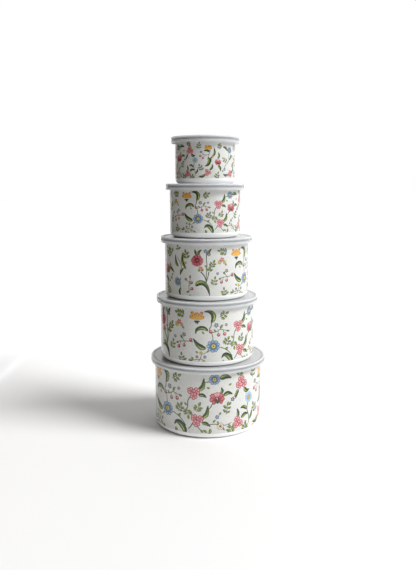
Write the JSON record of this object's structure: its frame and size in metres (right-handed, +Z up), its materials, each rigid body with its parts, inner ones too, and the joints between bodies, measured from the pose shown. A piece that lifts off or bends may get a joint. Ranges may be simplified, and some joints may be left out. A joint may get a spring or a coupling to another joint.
{
  "type": "stack of lidded enamel bowls",
  "caption": "Tower of graduated round enamelled steel bowls with a floral pattern, each closed by a frosted plastic snap lid and standing on the lid below.",
  "frame": {"origin": "on the floor, on the upright axis of the largest bowl", "axes": "+Z up the tower, from the largest bowl to the smallest; +Y from the viewer's side to the back"},
  "size_m": [0.184, 0.184, 0.4552],
  "materials": {
    "enamel": "glossy white vitreous enamel with a fired floral decoration",
    "rim_steel": "satin stainless steel",
    "lid_plastic": "frosted translucent plastic, fine matte grain"
  },
  "bodies": {
    "container_18": {"bowl_18": "enamel", "rim_band_18": "rim_steel"},
    "lid_18": {"lid_18": "lid_plastic"},
    "container_16": {"bowl_16": "enamel", "rim_band_16": "rim_steel"},
    "lid_16": {"lid_16": "lid_plastic"},
    "container_14": {"bowl_14": "enamel", "rim_band_14": "rim_steel"},
    "lid_14": {"lid_14": "lid_plastic"},
    "container_12": {"bowl_12": "enamel", "rim_band_12": "rim_steel"},
    "lid_12": {"lid_12": "lid_plastic"},
    "container_10": {"bowl_10": "enamel", "rim_band_10": "rim_steel"},
    "lid_10": {"lid_10": "lid_plastic"}
  },
  "joints": [
    {"name": "lid_18_lift", "type": "slide", "parent": "container_18", "child": "lid_18", "axis": [0, 0, 1], "range_m": [0, 0.05]},
    {"name": "bowl_16_lift", "type": "slide", "parent": "lid_18", "child": "container_16", "axis": [0, 0, 1], "range_m": [0, 0.05]},
    {"name": "lid_16_lift", "type": "slide", "parent": "container_16", "child": "lid_16", "axis": [0, 0, 1], "range_m": [0, 0.05]},
    {"name": "bowl_14_lift", "type": "slide", "parent": "lid_16", "child": "container_14", "axis": [0, 0, 1], "range_m": [0, 0.05]},
    {"name": "lid_14_lift", "type": "slide", "parent": "container_14", "child": "lid_14", "axis": [0, 0, 1], "range_m": [0, 0.05]},
    {"name": "bowl_12_lift", "type": "slide", "parent": "lid_14", "child": "container_12", "axis": [0, 0, 1], "range_m": [0, 0.05]},
    {"name": "lid_12_lift", "type": "slide", "parent": "container_12", "child": "lid_12", "axis": [0, 0, 1], "range_m": [0, 0.05]},
    {"name": "bowl_10_lift", "type": "slide", "parent": "lid_12", "child": "container_10", "axis": [0, 0, 1], "range_m": [0, 0.05]},
    {"name": "lid_10_lift", "type": "slide", "parent": "container_10", "child": "lid_10", "axis": [0, 0, 1], "range_m": [0, 0.05]}
  ]
}
